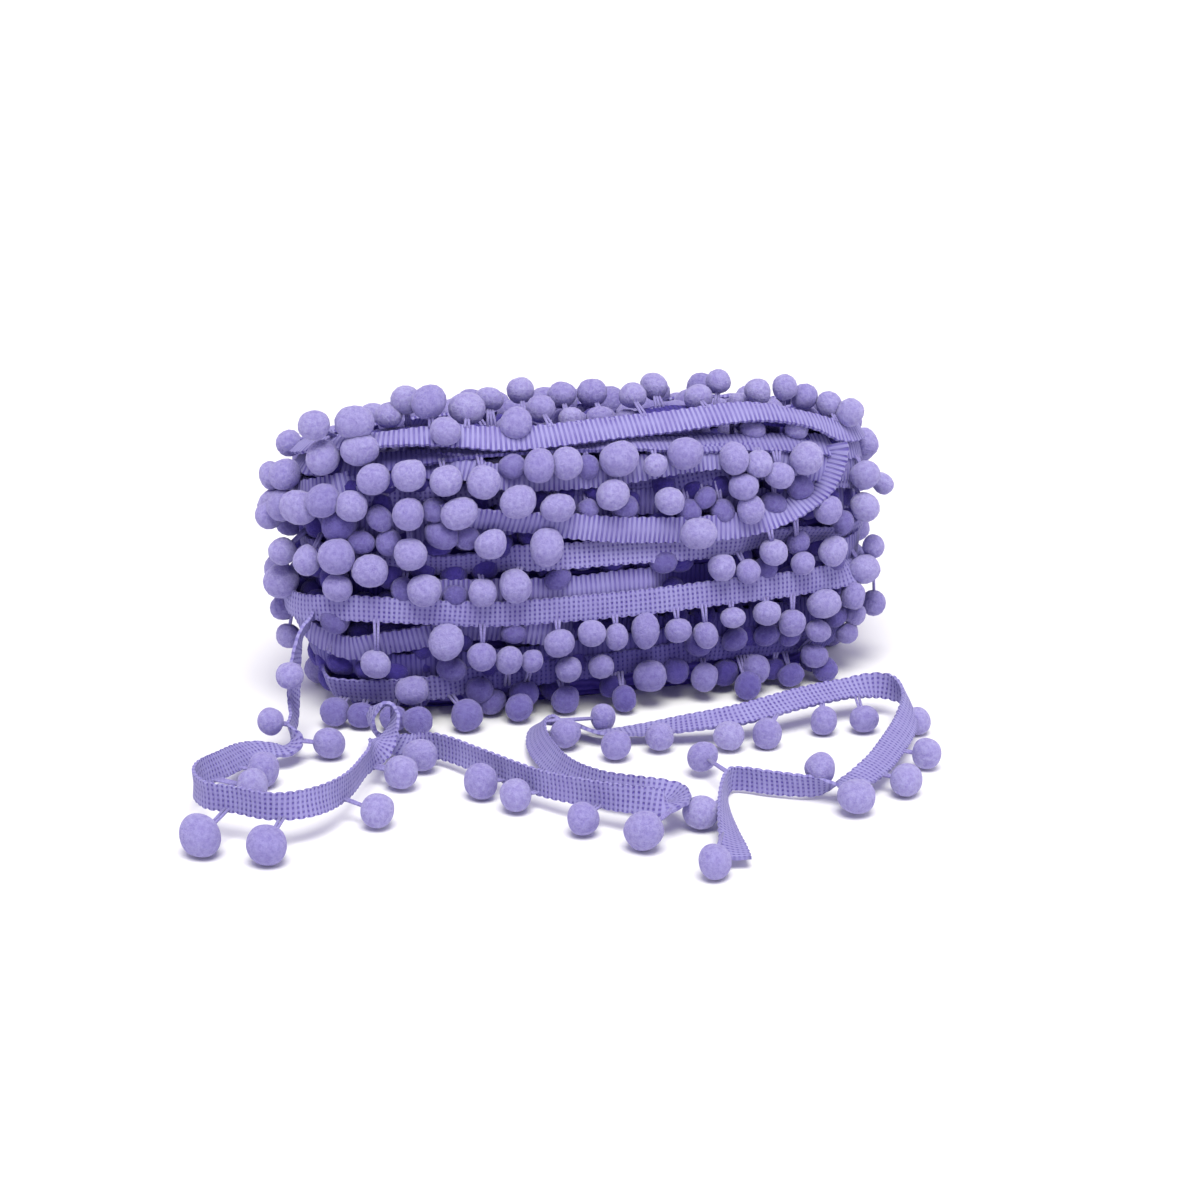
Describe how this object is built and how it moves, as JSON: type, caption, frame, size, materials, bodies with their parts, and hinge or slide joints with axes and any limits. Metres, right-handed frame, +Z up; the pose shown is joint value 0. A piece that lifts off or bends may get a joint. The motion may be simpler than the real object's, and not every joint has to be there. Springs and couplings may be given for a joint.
{
  "type": "pompom fringe trim",
  "caption": "Lilac pompom fringe: a narrow crocheted tape with velvety yarn balls tied along one edge, wound into an oblong hank, its loose end laid in loops on the table in front.",
  "frame": {"origin": "centre of the hank's flat underside, on the surface it rests on", "axes": "+X along the hank's long side and the part's longest extent, towards its squarer end; -Y towards the front, where the loose end lies; +Z up, the part's shortest extent"},
  "size_m": [0.2144, 0.1802, 0.087],
  "materials": {
    "wound yarn": "wound crocheted tape and velvety pompoms, matte",
    "tape yarn": "crocheted polyester tape, matte with a slight sheen",
    "pompom yarn": "velvety cut pile, matte"
  },
  "bodies": {
    "root": {"wound_hank": "wound yarn", "loose_tape": "tape yarn", "loose_pompom_01": "pompom yarn", "loose_pompom_02": "pompom yarn", "loose_pompom_03": "pompom yarn", "loose_pompom_04": "pompom yarn", "loose_pompom_05": "pompom yarn", "loose_pompom_06": "pompom yarn", "loose_pompom_07": "pompom yarn", "loose_pompom_08": "pompom yarn", "loose_pompom_09": "pompom yarn", "loose_pompom_10": "pompom yarn", "loose_pompom_11": "pompom yarn", "loose_pompom_12": "pompom yarn", "loose_pompom_13": "pompom yarn", "loose_pompom_14": "pompom yarn", "loose_pompom_15": "pompom yarn", "loose_pompom_16": "pompom yarn", "loose_pompom_17": "pompom yarn", "loose_pompom_18": "pompom yarn", "loose_pompom_19": "pompom yarn", "loose_pompom_20": "pompom yarn", "loose_pompom_21": "pompom yarn", "loose_pompom_22": "pompom yarn", "loose_pompom_23": "pompom yarn", "loose_pompom_24": "pompom yarn", "loose_pompom_25": "pompom yarn", "loose_pompom_26": "pompom yarn", "loose_pompom_27": "pompom yarn", "loose_pompom_28": "pompom yarn", "loose_pompom_29": "pompom yarn", "loose_pompom_30": "pompom yarn"}
  },
  "joints": []
}
